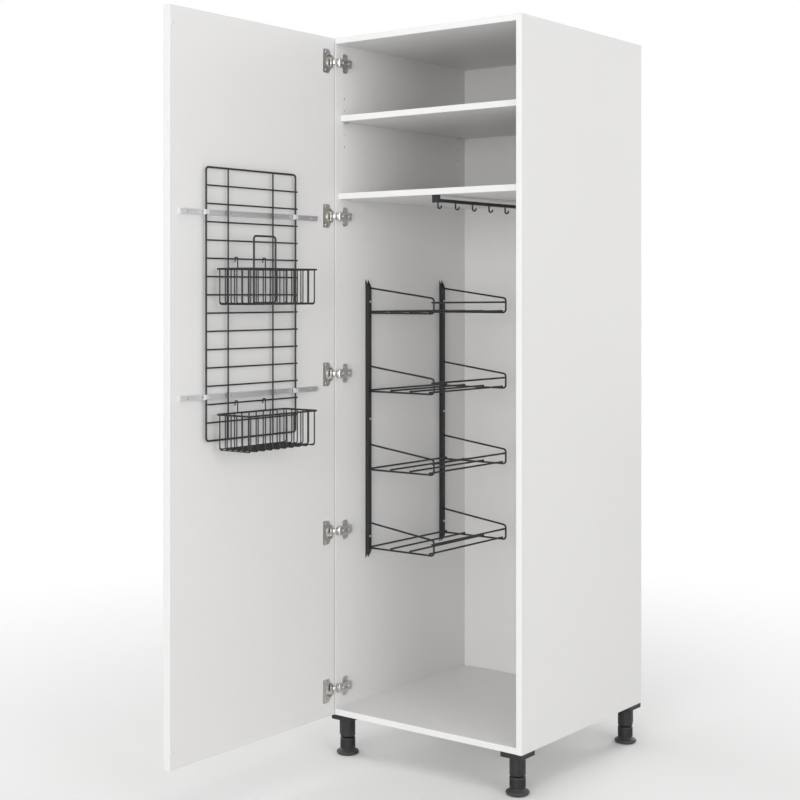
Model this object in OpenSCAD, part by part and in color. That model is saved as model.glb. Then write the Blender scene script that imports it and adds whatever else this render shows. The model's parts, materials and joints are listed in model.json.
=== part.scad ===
/* [Carcass] */
// Width of the carcass over its side panels
body_w = 600; // [500:10:700]
// Depth of the carcass, front edge to back face
body_d = 600; // [540:10:650]
// Height of the carcass without its legs
body_h = 1790; // [1770:10:2000]
// Thickness of the side, top, bottom and shelf boards
board_t = 16; // [15:0.5:19]
// Thickness of the back panel
back_t = 5; // [3:0.5:10]
// Depth of the rabbet that the back panel's edges lie in
rabbet = 8; // [5:0.5:10]
// Bevel along the banded front edges
edge_bevel = 0.8; // [0.4:0.1:1.5]
// Diameter of the wooden dowels in the corner joints
dowel_d = 8; // [6:1:10]
// Length of the wooden dowels
dowel_len = 32; // [28:1:36]

/* [Shelves] */
// Underside of the fixed shelf below the carcass's upper edge
fixed_shelf_down = 426; // [390:2:510]
// Underside of the loose shelf below the carcass's upper edge
loose_shelf_down = 219; // [170:1:290]
// Distance of the fixed shelf's front edge behind the carcass front
fixed_setback = 16; // [16:1:30]
// Distance of the loose shelf's front edge behind the carcass front
shelf_setback = 22; // [10:1:40]
// Gap between the loose shelf and each side panel
loose_shelf_gap = 1; // [0.5:0.25:2]
// Diameter of the shelf pins
pin_d = 5; // [4:0.5:6]
// Distance of the rows of shelf holes from the front and back edges
hole_row = 37; // [35:1:45]
// Pitch of the holes in a row
hole_pitch = 32; // [25:1:40]

/* [Door] */
// Thickness of the door
door_t = 22; // [18:1:25]
// Gap between the closed door and the carcass front
door_gap = 3; // [2.8:0.1:4]
// Reveal between the closed door and the carcass's outer edges
door_reveal = 1.5; // [1:0.25:2.5]

/* [Hinges] */
// Swing axis behind the door's hinge edge
axis_in = 7; // [6.5:0.1:7.2]
// Swing axis below the door's inner face
axis_deep = 7.5; // [7.4:0.1:8]
// Lowest hinge above the carcass's lower edge
hinge_low = 70; // [60:5:100]
// Pitch of the four lower hinges
hinge_pitch = 416; // [380:2:430]
// Top hinge below the carcass's upper edge
hinge_top = 65; // [60:5:100]
// Diameter of the hinge cup
cup_d = 35; // [34:0.5:36]
// Depth of the hinge cup
cup_deep = 12.5; // [12:0.25:14]
// Distance between the cup bore and the door's hinge edge
cup_edge = 3; // [2.5:0.25:3]
// Sheet thickness of the cup and its flange
cup_wall = 0.8; // [0.6:0.1:1]
// Height of the cup's flange over its two wings
flange_h = 62; // [56:1:66]
// Diameter of the hinge pin
hinge_pin_d = 2; // [1.6:0.1:2.2]
// Width of the hinge arm
arm_w = 22; // [18:1:26]
// Rear end of the hinge arm behind the carcass front
arm_end = 54; // [50:1:70]
// Height of the hinge arm over its mounting plate
arm_h = 10; // [8:0.5:12]
// Thickness of the mounting plate's base
plate_t = 3; // [2.5:0.25:4]
// Height of the mounting plate over its two wings
wing_h = 50; // [46:1:56]

/* [Rack] */
// Front face of the front upright behind the carcass front
rack_front = 126; // [124:1:150]
// Distance between the two uprights, centre to centre
rack_span = 341; // [300:1:360]
// Side of the square upright profile
upright_w = 12; // [10:0.5:15]
// Wall thickness of the upright profile
upright_t = 1.5; // [1:0.25:2]
// Upper tips of the uprights below the fixed shelf
rack_down = 212; // [190:1:230]
// Height of each upright from tip to tip
rack_h = 755; // [730:5:800]
// Height of the mitre at each end of an upright
mitre_h = 20; // [10:1:26]
// Lowest rack floor above the uprights' lower tips
tier_low = 28; // [24:1:34]
// Pitch of the rack shelves
tier_pitch = 212; // [190:1:214]
// Reach of the rack shelves from the left panel
tier_reach = 226; // [180:2:228]
// Height of a rack shelf's side at the upright
tier_rise = 69; // [55:1:75]
// Height of a rack shelf's side at its free end
tier_lip = 40; // [30:1:48]
// Diameter of the rack wire
tier_wire = 5; // [4:0.5:6]

/* [Door grid] */
// Width of the wire grid
grid_w = 320; // [280:2:340]
// Lowest wire of the grid below the fixed shelf
grid_down = 602; // [584:2:624]
// Pitch of the grid's cross wires
grid_pitch = 43.6; // [42:0.2:44]
// Middle of the grid from the door's hinge edge
grid_mid = 328; // [310:1:340]
// Diameter of the grid's frame wire
frame_wire = 5; // [4:0.5:6]
// Diameter of the grid's inner wires
grid_wire = 4; // [3:0.5:4.5]
// Length of the two mounting rails
rail_len = 490; // [450:5:510]
// Height of a mounting rail
rail_h = 12.5; // [10:0.5:14]
// Thickness of a mounting rail
rail_t = 8; // [6:0.5:9]
// Middle of the lower mounting rail above the grid's lowest wire
lower_rail_up = 105; // [100:1:114]
// Middle of the upper mounting rail above the grid's lowest wire
upper_rail_up = 546.5; // [538:0.5:550]

/* [Baskets] */
// Length of both baskets
basket_w = 248; // [200:2:252]
// Depth of both baskets
basket_d = 112; // [90:1:112]
// Height of both baskets, rim to floor
basket_h = 85; // [60:1:90]
// Diameter of the basket rims
rim_wire = 4.5; // [4:0.25:5.5]
// Diameter of the basket wires
basket_wire = 3; // [2.5:0.25:3.5]
// Height of the grip over the caddy's rim
grip_rise = 80; // [60:1:90]
// Width of the grip
grip_w = 82; // [65:1:100]

/* [Hook rail] */
// Middle of the hook rail from the carcass's left face
hook_rail_x = 328; // [300:2:400]
// Length of the hook rail
hook_rail_len = 425; // [415:5:450]
// Width of the hook rail
hook_rail_w = 12; // [10:0.5:16]
// Height of the hook rail
hook_rail_h = 8; // [6:0.5:10]
// Space between the hook rail and the fixed shelf
hook_rail_drop = 10; // [6:0.5:14]
// Pitch of the hooks
hook_pitch = 77; // [60:1:78]
// Diameter of the hook wire
hook_wire = 4; // [3:0.5:5]

/* [Legs] */
// Height of the legs
leg_h = 106; // [100:1:116]
// Side of the square leg plate
leg_plate_w = 64; // [60:1:80]
// Thickness of the leg plate
leg_plate_t = 12; // [10:0.5:14]
// Diameter of the leg tube and the adjuster
leg_d = 40; // [36:1:44]
// Diameter of the foot's flange
foot_d = 59; // [50:1:60]
// Height of the foot's flange
foot_h = 16; // [12:0.5:20]
// Height of the adjuster above the flange
adjuster_h = 29; // [24:0.5:32]
// Diameter of the foot's threaded stem
stem_d = 16; // [12:1:20]

/* [Hidden] */
$fn = 32;

// Small clearances between seated pieces
seat_gap = 0.2;
bore_gap = 0.05;
weld = 0.6;
past = 1;
// Space left between the end of a pin or screw and the end of its bore
bore_end = 1;

// The swing axis stands in front of the left panel. At rest the door is open at a right angle.
axis_x = door_reveal + axis_in;
axis_y = -(door_gap + axis_deep);
face_x = axis_x + axis_deep;
edge_y = axis_y + axis_in;
door_w = body_w - 2 * door_reveal;
door_h = body_h - 2 * door_reveal;
door_low = leg_h + door_reveal;

// The frame's origin is on the floor, in the middle of the whole model with its door open
origin_x = (face_x - door_t + body_w) / 2;
origin_y = (edge_y - door_w + body_d) / 2;

body_low = leg_h;
body_top = leg_h + body_h;
inner_w = body_w - 2 * board_t;
inner_d = body_d - back_t;
fixed_z = body_top - fixed_shelf_down;
loose_z = body_top - loose_shelf_down;
rack_z = fixed_z - rack_down - rack_h;
hinge_count = 5;
white = [0.93, 0.93, 0.92];
wire_black = [0.07, 0.07, 0.075];
plastic_black = [0.06, 0.06, 0.06];
steel = [0.72, 0.72, 0.74];
aluminium = [0.8, 0.81, 0.82];
timber = [0.76, 0.62, 0.44];

function hinge_z(i) =
    i < hinge_count - 1 ? body_low + hinge_low + i * hinge_pitch : body_top - hinge_top;
function tier_z(i) = rack_z + tier_low + i * tier_pitch;
function grid_z(k) = fixed_z - grid_down + k * grid_pitch;
function unit(v) = v / norm(v);

module in_frame() {
    translate([-origin_x, -origin_y, 0]) children();
}

// A block with its front lower and upper edges beveled, front at y = 0
module fronted_board(w, d, t) {
    b = edge_bevel;
    rotate([90, 0, 90])
        linear_extrude(w)
            polygon([[b, 0], [d, 0], [d, t], [b, t], [0, t - b], [0, b]]);
}

// One length of round wire between two points
module rod(a, b, d) {
    v = b - a;
    turn = atan2(v[1], v[0]);
    lean = acos(v[2] / norm(v));
    translate(a) rotate([0, lean, turn]) cylinder(d = d, h = norm(v));
}

// A bent wire in the XY plane through the points, each inner point rounded to the bend radius. A
// swell widens the bends a little, and the straight stretches then run a short way into them.
module bent_wire(points, d, bend, closed = false, swell = 0) {
    lap = 4 * swell;
    n = len(points);
    last = closed ? n - 1 : n - 2;
    function before(i) = points[(i + n - 1) % n];
    function after(i) = points[(i + 1) % n];
    function bends(i) = closed || (i > 0 && i < n - 1);
    function turn_at(i) =
        let(u = points[i] - before(i), v = after(i) - points[i])
        atan2(u[0] * v[1] - u[1] * v[0], u * v);
    function trim(i) = bends(i) ? bend * tan(abs(turn_at(i)) / 2) : 0;
    for (i = [0 : last]) {
        along = unit(after(i) - points[i]);
        a = points[i] + along * max(trim(i) - lap, 0);
        b = after(i) - along * max(trim((i + 1) % n) - lap, 0);
        rod([a[0], a[1], 0], [b[0], b[1], 0], d);
    }
    for (i = [0 : n - 1]) {
        if (bends(i)) {
            turn = turn_at(i);
            into = unit(points[i] - before(i));
            side = turn > 0 ? 1 : -1;
            start = points[i] - into * trim(i);
            centre = start + side * bend * [-into[1], into[0]];
            first = atan2(start[1] - centre[1], start[0] - centre[0]);
            translate([centre[0], centre[1], 0])
                rotate([0, 0, turn > 0 ? first : first + turn])
                    rotate_extrude(angle = abs(turn))
                        translate([bend, 0]) circle(d = d + swell);
        }
    }
}

// Turns a flat drawing so that its X runs along x or y and its Y runs up
module standing_x() {
    rotate([90, 0, 0]) children();
}
module standing_y() {
    rotate([90, 0, 90]) children();
}

// A countersunk screw along -Z with the top of its head at z = 0
module screw(shank_d, head_d, length) {
    head_t = (head_d - shank_d) / 2;
    rotate_extrude()
        polygon([
            [0, 0], [head_d / 2, 0], [shank_d / 2, -head_t], [shank_d / 2, -length + shank_d / 2],
            [0, -length]
        ]);
}

// Dowel places: three along the depth of each joint between a side and a level board
dowel_cover = 5;
dowel_in = board_t - dowel_cover;
dowel_ys = [0.12, 0.5, 0.88];
dowel_levels = [body_low + board_t / 2, body_top - board_t / 2, fixed_z + board_t / 2];
module dowel_holes(gap) {
    for (z = dowel_levels, f = dowel_ys, left = [0, 1]) {
        low_x = left == 1 ? board_t - dowel_in : body_w - board_t + dowel_in - dowel_len;
        translate([low_x - gap, fixed_setback + f * (inner_d - fixed_setback), z])
            rotate([0, 90, 0]) cylinder(d = dowel_d + 2 * gap, h = dowel_len + 2 * gap);
    }
}

// Rows of shelf holes: five on each row, the middle one holds the pin
row_holes = 5;
pin_in = 9;
pin_seat = pin_d / 2;
pin_z = loose_z - pin_seat;
module shelf_holes() {
    for (y = [hole_row, inner_d - hole_row], k = [0 : row_holes - 1], right = [0, 1]) {
        low_x = right == 1 ? body_w - board_t : board_t - pin_in;
        translate([low_x - (right == 1 ? past : 0), y, pin_z + (k - (row_holes - 1) / 2) * hole_pitch])
            rotate([0, 90, 0]) cylinder(d = pin_d + 2 * bore_gap, h = pin_in + past);
    }
}

// Screws of the mounting plates: two to a hinge, 32 mm apart in the front row of holes
plate_screw_z = 16;
plate_screw_d = 4;
plate_screw_in = 11;
module plate_screw_places() {
    for (i = [0 : hinge_count - 1], s = [-1, 1])
        translate([board_t, hole_row, hinge_z(i) + s * plate_screw_z]) children();
}

rack_screw_d = 3.5;
rack_screw_in = 11;
rack_screw_rise = 40;
rack_screw_end = mitre_h + rack_screw_rise;
upright_y = [rack_front + upright_w / 2, rack_front + upright_w / 2 + rack_span];
function rack_screw_z(k) = rack_z + rack_screw_end + k * (rack_h - 2 * rack_screw_end) / 2;
module rack_screw_places(y) {
    for (k = [0 : 2])
        translate([board_t + upright_w, y, rack_screw_z(k)]) children();
}

module side_blank() {
    b = edge_bevel;
    translate([0, 0, body_low])
        linear_extrude(body_h)
            polygon([[b, 0], [board_t - b, 0], [board_t, b], [board_t, inner_d],
                [board_t - rabbet, inner_d], [board_t - rabbet, body_d], [0, body_d], [0, b]]);
}

module left_side_panel() {
    color(white) in_frame() difference() {
        side_blank();
        dowel_holes(bore_gap);
        shelf_holes();
        plate_screw_places() rotate([0, -90, 0])
            cylinder(d = plate_screw_d + 2 * bore_gap, h = plate_screw_in);
        for (y = upright_y)
            rack_screw_places(y) rotate([0, -90, 0])
                cylinder(d = rack_screw_d + 2 * bore_gap, h = upright_w + rack_screw_in);
    }
}

module right_side_panel() {
    color(white) in_frame() difference() {
        translate([body_w, 0, 0]) mirror([1, 0, 0]) side_blank();
        dowel_holes(bore_gap);
        shelf_holes();
    }
}

// Top and bottom panels: the rabbet for the back panel is on the inner face
module level_board(low, rabbet_up) {
    difference() {
        translate([board_t, 0, low]) fronted_board(inner_w, body_d, board_t);
        translate([0, inner_d, rabbet_up ? low + board_t - rabbet : low - past])
            cube([body_w, body_d, rabbet + past]);
        dowel_holes(bore_gap);
        if (rabbet_up) leg_screw_places() translate([0, 0, -past])
            cylinder(d = leg_screw_d + 2 * bore_gap, h = leg_screw_in + past);
    }
}

module top_panel() {
    color(white) in_frame() level_board(body_top - board_t, false);
}

module bottom_panel() {
    color(white) in_frame() level_board(body_low, true);
}

module back_panel() {
    color(white) in_frame()
        translate([board_t - rabbet, inner_d, body_low + board_t - rabbet])
            cube([inner_w + 2 * rabbet, back_t, body_h - 2 * board_t + 2 * rabbet]);
}

bracket_w = 19;
bracket_t = 10;
bracket_screw_d = 3;
bracket_screw_in = 10;
hook_rail_low = fixed_z - hook_rail_drop - hook_rail_h;
hook_rail_in = 3;
hook_rail_front = fixed_setback + hook_rail_in;
bracket_ys = [hook_rail_front, hook_rail_front + hook_rail_len - bracket_t];
module bracket_screw_places() {
    for (y = bracket_ys)
        translate([hook_rail_x, y + bracket_t / 2, fixed_z]) children();
}

module fixed_shelf() {
    color(white) in_frame() difference() {
        translate([board_t, fixed_setback, fixed_z])
            fronted_board(inner_w, inner_d - fixed_setback, board_t);
        dowel_holes(bore_gap);
        bracket_screw_places() translate([0, 0, -past])
            cylinder(d = bracket_screw_d + 2 * bore_gap, h = bracket_screw_in + past);
    }
}

shelf_back_gap = 2;
module loose_shelf() {
    color(white) in_frame()
        translate([board_t + loose_shelf_gap, shelf_setback, loose_z])
            fronted_board(inner_w - 2 * loose_shelf_gap, inner_d - shelf_setback - shelf_back_gap, board_t);
}

// A pin in the hole, a collar against the panel and a flat tongue that the shelf lies on
module shelf_pin() {
    tongue_len = 12;
    tongue_t = 4;
    collar_t = 1.5;
    collar_d = pin_d + 2 * collar_t;
    rotate([0, 90, 0]) translate([0, 0, -pin_in + bore_end]) cylinder(d = pin_d, h = pin_in);
    difference() {
        rotate([0, 90, 0]) cylinder(d = collar_d, h = tongue_len);
        translate([-past, -collar_d, pin_seat]) cube([tongue_len + 2 * past, 2 * collar_d, collar_d]);
        translate([collar_t, -collar_d, pin_seat - tongue_t - collar_d])
            cube([tongue_len, 2 * collar_d, collar_d]);
    }
}

module shelf_pins() {
    color(steel) in_frame()
        for (y = [hole_row, inner_d - hole_row]) {
            translate([board_t, y, pin_z]) shelf_pin();
            translate([body_w - board_t, y, pin_z]) mirror([1, 0, 0]) shelf_pin();
        }
}

module dowels() {
    color(timber) in_frame() dowel_holes(-bore_gap);
}

// Mounting plate of a hinge: a base with two wings, and a raised guide that the arm sits on
guide_w = 16;
guide_start = 14;
plate_start = 8;
plate_end_in = 2;
guide_end_in = 6;
guide_below = 3;
guide_narrow = 1;
arm_screw_d = 4;
arm_screw_front = 18;
arm_screw_end_in = 12;
arm_screw_ys = [arm_screw_front, arm_end - arm_screw_end_in];
module hinge_plate() {
    guide_h = arm_h - guide_below;
    difference() {
        union() {
            translate([board_t, plate_start, -guide_w / 2])
                cube([plate_t, arm_end - plate_start - plate_end_in, guide_w]);
            translate([board_t, hole_row, 0]) rotate([0, 90, 0]) linear_extrude(plate_t)
                wing_outline();
            translate([board_t, guide_start, -guide_w / 2 + guide_narrow])
                cube([plate_t + guide_h, arm_end - guide_start - guide_end_in,
                    guide_w - 2 * guide_narrow]);
        }
        for (s = [-1, 1])
            translate([board_t + plate_t, hole_row, s * plate_screw_z]) rotate([0, 90, 0])
                screw_seat(plate_screw_d, plate_head_d, plate_t);
        arm_screw_bores();
    }
}

// Bores of the two screws that hold a hinge arm to its plate, with the hinge's middle at z = 0
module arm_screw_bores() {
    for (y = arm_screw_ys)
        translate([neck_x + past, y, 0]) rotate([0, 90, 0])
            cylinder(d = arm_screw_d + 2 * bore_gap, h = arm_h);
}

plate_head_d = 7.5;
module screw_seat(shank_d, head_d, depth) {
    head_t = (head_d - shank_d) / 2;
    translate([0, 0, -depth - past]) cylinder(d = shank_d + 2 * bore_gap, h = depth + 2 * past);
    translate([0, 0, -head_t]) cylinder(d1 = shank_d + 2 * bore_gap, d2 = head_d + 2 * bore_gap, h = head_t);
    cylinder(d = head_d + 2 * bore_gap, h = past);
}

module wing_outline() {
    half_w = 10;
    half_h = wing_h / 2;
    nip = 4;
    polygon([[-half_h, -half_w + nip], [-half_h + nip, -half_w], [half_h - nip, -half_w],
        [half_h, -half_w + nip], [half_h, half_w - nip], [half_h - nip, half_w],
        [-half_h + nip, half_w], [-half_h, half_w - nip]]);
}

module hinge_plates() {
    color(steel) in_frame()
        for (i = [0 : hinge_count - 1]) translate([0, 0, hinge_z(i)]) hinge_plate();
}

module hinge_plate_screws() {
    color(steel) in_frame()
        plate_screw_places() translate([plate_t, 0, 0]) rotate([0, 90, 0])
            screw(plate_screw_d, plate_head_d, plate_t + plate_screw_in - bore_end);
}

module hinge_arm_screws() {
    head_t = 2;
    color(steel) in_frame()
        for (i = [0 : hinge_count - 1], y = arm_screw_ys)
            translate([neck_x + arm_h, y, hinge_z(i)]) rotate([0, 90, 0]) {
                cylinder(d = 1.8 * arm_screw_d, h = head_t);
                translate([0, 0, -arm_h + 2 * past]) cylinder(d = arm_screw_d, h = arm_h - 2 * past);
            }
}

// Hinge arm: a folded channel over the plate, and a cranked neck that reaches into the cup
knuckle_d = 4.4;
neck_w = 10;
neck_t = 4;
neck_x = board_t + plate_t;
neck_nip = 1.5;
arm_start = 2;
module hinge_arm(i) {
    sheet = 1.5;
    color(steel) in_frame() translate([0, 0, hinge_z(i)]) difference() {
        union() {
            difference() {
                translate([neck_x, arm_start, -arm_w / 2]) cube([arm_h, arm_end - arm_start, arm_w]);
                translate([neck_x - past, arm_start + sheet, -arm_w / 2 + sheet])
                    cube([arm_h + past - sheet, arm_end, arm_w - 2 * sheet]);
            }
            translate([0, 0, -neck_w / 2]) linear_extrude(neck_w)
                polygon([
                    [axis_x, axis_y - knuckle_d / 2], [neck_x + neck_t - neck_nip, axis_y - knuckle_d / 2],
                    [neck_x + neck_t, axis_y - knuckle_d / 2 + neck_nip],
                    [neck_x + neck_t, arm_start + sheet], [neck_x, arm_start + sheet],
                    [neck_x, axis_y + knuckle_d / 2 + neck_nip],
                    [neck_x - neck_nip, axis_y + knuckle_d / 2],
                    [axis_x, axis_y + knuckle_d / 2]
                ]);
            translate([axis_x, axis_y, -neck_w / 2]) cylinder(d = knuckle_d, h = neck_w);
        }
        translate([axis_x, axis_y, -neck_w]) cylinder(d = hinge_pin_d + 2 * bore_gap, h = 2 * neck_w);
        arm_screw_bores();
    }
}

// Hinge cup: a drawn steel cup in the door's bore, with a winged flange on the inner face. Its rim is
// notched towards the hinge edge, where the neck passes.
notch_w = neck_w + 2;
cup_y = edge_y - cup_edge - cup_d / 2;
flange_t = 1.2;
flange_far = 28;
cup_screw_y = 16;
cup_screw_z = 24;
cup_screw_d = 3.5;
cup_head_d = 6.5;
cup_head_t = 1.2;
cup_screw_in = 12;
cup_collar = 3;
module cup_screw_places() {
    for (i = [0 : hinge_count - 1], s = [-1, 1])
        translate([face_x, cup_y - cup_screw_y, hinge_z(i) + s * cup_screw_z]) children();
}

module flange_outline() {
    half = flange_h / 2;
    far = flange_far;
    wing_near = 4;
    taper_z = 17;
    nip = 2;
    circle(d = cup_d + cup_collar);
    polygon([[-far, -half + nip], [-far + nip, -half], [-wing_near, -half], [wing_near, -taper_z],
        [wing_near, taper_z], [-wing_near, half], [-far + nip, half], [-far, half - nip]]);
}

module hinge_cup(i) {
    cup_outer = cup_d - 2 * bore_gap;
    color(steel) in_frame() difference() {
        translate([face_x, cup_y, hinge_z(i)]) difference() {
            union() {
                rotate([0, -90, 0]) cylinder(d = cup_outer, h = cup_deep - bore_gap);
                rotate([90, 0, 90]) linear_extrude(flange_t) flange_outline();
            }
            rotate([0, -90, 0]) translate([0, 0, -flange_t - past])
                cylinder(d = cup_outer - 2 * cup_wall, h = cup_deep - cup_wall + flange_t + past);
            for (s = [-1, 1])
                translate([flange_t, -cup_screw_y, s * cup_screw_z]) rotate([0, 90, 0])
                    cylinder(d = cup_screw_d + 2 * bore_gap, h = 4 * flange_t, center = true);
        }
        translate([axis_x, axis_y, hinge_z(i) - cup_d / 2])
            cylinder(d = hinge_pin_d + 2 * bore_gap, h = cup_d);
        translate([axis_x, axis_y, hinge_z(i) - notch_w / 2]) cube([cup_deep, edge_y - axis_y, notch_w]);
    }
}

// Each pin spans its cup, with its ends ground flush with the cup's round wall
module hinge_pins() {
    color(steel) in_frame()
        for (i = [0 : hinge_count - 1]) intersection() {
            translate([axis_x, axis_y, hinge_z(i) - cup_d / 2]) cylinder(d = hinge_pin_d, h = cup_d);
            translate([face_x, cup_y, hinge_z(i)]) rotate([0, -90, 0])
                cylinder(d = cup_d - 2 * bore_gap, h = cup_deep);
        }
}

module cup_screws() {
    color(steel) in_frame()
        cup_screw_places() translate([flange_t, 0, 0]) rotate([0, 90, 0]) {
            translate([0, 0, bore_end - flange_t - cup_screw_in])
                cylinder(d = cup_screw_d, h = flange_t + cup_screw_in - bore_end);
            cylinder(d = cup_head_d, h = cup_head_t);
        }
}

rail_screw_d = 3.5;
rail_screw_in = 14;
rail_head_d = 6.5;
rail_head_t = 1.6;
rail_gap = 28;
rail_mid_y = cup_y - flange_far - rail_gap - rail_len / 2;
function rail_z(up) = grid_z(0) + (up ? upper_rail_up : lower_rail_up);
module rail_screw_places(up) {
    for (f = [-0.46, -0.16, 0.16, 0.46])
        translate([face_x + rail_t, rail_mid_y + f * rail_len, rail_z(up)]) children();
}

// The door stands open at a right angle, its inner face towards +X
module door_panel() {
    b = edge_bevel;
    outer_x = face_x - door_t;
    color(white) in_frame() difference() {
        intersection() {
            translate([outer_x, edge_y - door_w, door_low]) linear_extrude(door_h)
                polygon([[b, 0], [door_t - b, 0], [door_t, b], [door_t, door_w - b],
                    [door_t - b, door_w], [b, door_w], [0, door_w - b], [0, b]]);
            translate([outer_x, edge_y, door_low]) standing_x() linear_extrude(door_w)
                polygon([[b, 0], [door_t - b, 0], [door_t, b], [door_t, door_h - b],
                    [door_t - b, door_h], [b, door_h], [0, door_h - b], [0, b]]);
        }
        for (i = [0 : hinge_count - 1])
            translate([face_x + past, cup_y, hinge_z(i)]) rotate([0, -90, 0])
                cylinder(d = cup_d, h = cup_deep + past);
        cup_screw_places() translate([past, 0, 0]) rotate([0, -90, 0])
            cylinder(d = cup_screw_d + 2 * bore_gap, h = cup_screw_in + past);
        for (up = [false, true])
            rail_screw_places(up) rotate([0, -90, 0])
                cylinder(d = rail_screw_d + 2 * bore_gap, h = rail_t + rail_screw_in);
        buffer_places() translate([-buffer_peg, 0, 0]) rotate([0, 90, 0])
            cylinder(d = buffer_peg_d + 2 * bore_gap, h = 2 * buffer_peg);
    }
}

// A mounting rail: a bar with a shallow groove along its face for the screw heads
groove_h = 7.5;
groove_t = 2;
module mounting_rail(up) {
    color(aluminium) in_frame() difference() {
        translate([face_x, rail_mid_y - rail_len / 2, rail_z(up) - rail_h / 2])
            cube([rail_t, rail_len, rail_h]);
        translate([face_x + rail_t - groove_t, rail_mid_y - rail_len / 2 - past, rail_z(up) - groove_h / 2])
            cube([groove_t + past, rail_len + 2 * past, groove_h]);
        rail_screw_places(up) rotate([0, -90, 0])
            cylinder(d = rail_screw_d + 2 * bore_gap, h = rail_t + past);
    }
}

module rail_screws() {
    color(steel) in_frame()
        for (up = [false, true])
            rail_screw_places(up) translate([-groove_t, 0, 0]) rotate([0, 90, 0]) {
                cylinder(d = rail_head_d, h = rail_head_t);
                translate([0, 0, bore_end - rail_t + groove_t - rail_screw_in])
                    cylinder(d = rail_screw_d, h = rail_t - groove_t + rail_screw_in - bore_end);
            }
}

// The wire grid: a closed frame with two uprights in its plane, and cross wires laid over them
grid_y = edge_y - grid_mid;
grid_x = face_x + rail_t + frame_wire / 2 + seat_gap;
cross_x = grid_x + (frame_wire + grid_wire) / 2 - weld;
cross_wires = 14;
cross_over = 2;
grid_upright_shift = 5;
module wire_grid() {
    corner = 8;
    top = grid_z(cross_wires + 1);
    low = grid_z(0);
    half = grid_w / 2;
    color(wire_black) in_frame() {
        translate([grid_x, grid_y, 0]) standing_y()
            bent_wire([[-half, low], [half, low], [half, top], [-half, top]], frame_wire, corner, true);
        for (y = [grid_y - grid_upright_shift - half / 2, grid_y - grid_upright_shift + half / 2])
            rod([grid_x, y, low], [grid_x, y, top], grid_wire);
        for (k = [1 : cross_wires])
            rod([cross_x, grid_y - half - cross_over, grid_z(k)],
                [cross_x, grid_y + half + cross_over, grid_z(k)], grid_wire);
    }
}

// Clips hold the grid's frame on the rails. Each snaps over the frame wire, which is wider than the
// clip's mouth.
clip_h = 12;
clip_over = 3;
clip_snap = 0.6;
module grid_clips() {
    clip_w = 13;
    mouth_w = frame_wire - clip_snap;
    clip_out = face_x + rail_t + frame_wire + clip_over;
    color("silver") in_frame()
        for (up = [false, true], s = [-1, 1])
            difference() {
                translate([face_x + rail_t, grid_y + s * grid_w / 2 - clip_w / 2, rail_z(up) - clip_h / 2])
                    cube([clip_out - face_x - rail_t, clip_w, clip_h]);
                translate([grid_x, grid_y + s * grid_w / 2, rail_z(up) - clip_h])
                    cylinder(d = frame_wire + 2 * seat_gap, h = 2 * clip_h);
                translate([face_x + rail_t - past, grid_y + (s * grid_w - mouth_w) / 2, rail_z(up) - clip_h])
                    cube([grid_x - face_x - rail_t + past, mouth_w, 2 * clip_h]);
            }
}

// Baskets hang by two hooks on a cross wire of the grid, a little towards the door's free edge
hook_over = 25;
hook_d = 3;
hook_gap = 0.4;
hook_down = 12;
hook_bend = 2.6;
basket_clear = 0.5;
basket_back = cross_x + grid_wire / 2 + basket_clear;
basket_shift = 11.5;
basket_y = grid_y - basket_shift;
caddy_wire = 10;
lower_wire = 2;
long_wires = 10;
short_wires = 6;
rim_bend = 6;
basket_bend = 6;
wire_top = 1.5;
corner_in = 4;
module basket(rim_z) {
    rim_c = rim_wire / 2;
    inner = rim_wire + basket_wire / 2 - weld;
    low = -basket_h;
    cross_low = low + basket_wire - weld;
    span_y = basket_w - 2 * inner;
    span_x = basket_d - 2 * inner;
    translate([basket_back, basket_y - basket_w / 2, rim_z]) {
        translate([rim_c, rim_c, 0])
            bent_wire([[0, 0], [basket_d - rim_wire, 0], [basket_d - rim_wire, basket_w - rim_wire],
                [0, basket_w - rim_wire]], rim_wire, rim_bend, true);
        for (k = [0 : long_wires - 1])
            translate([inner, inner + corner_in + k * (span_y - 2 * corner_in) / (long_wires - 1), 0])
                standing_x() bent_wire([[0, wire_top], [0, low], [span_x, low], [span_x, wire_top]],
                    basket_wire, basket_bend);
        for (k = [0 : short_wires - 1])
            translate([inner + corner_in + k * (span_x - 2 * corner_in) / (short_wires - 1), inner, 0])
                standing_y() bent_wire([[0, wire_top], [0, cross_low], [span_y, cross_low],
                    [span_y, wire_top]], basket_wire, basket_bend);
        for (f = [0.3, 0.7])
            translate([0, basket_w * f, 0]) basket_hook();
    }
}

// A hook rises from the rim, goes over the cross wire and down behind it
module basket_hook() {
    front_x = rim_wire / 2;
    behind_x = cross_x - grid_wire / 2 - hook_d / 2 - hook_gap - basket_back;
    over_z = hook_over + grid_wire / 2 + hook_d / 2 + hook_gap;
    standing_x()
        bent_wire([[front_x, 0], [front_x, over_z], [behind_x, over_z], [behind_x, over_z - hook_down]],
            hook_d, hook_bend);
}

caddy_rim = grid_z(caddy_wire) - hook_over;
lower_rim = grid_z(lower_wire) - hook_over;

module caddy_basket() {
    color(wire_black) in_frame() basket(caddy_rim);
}

module lower_basket() {
    color(wire_black) in_frame() basket(lower_rim);
}

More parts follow.
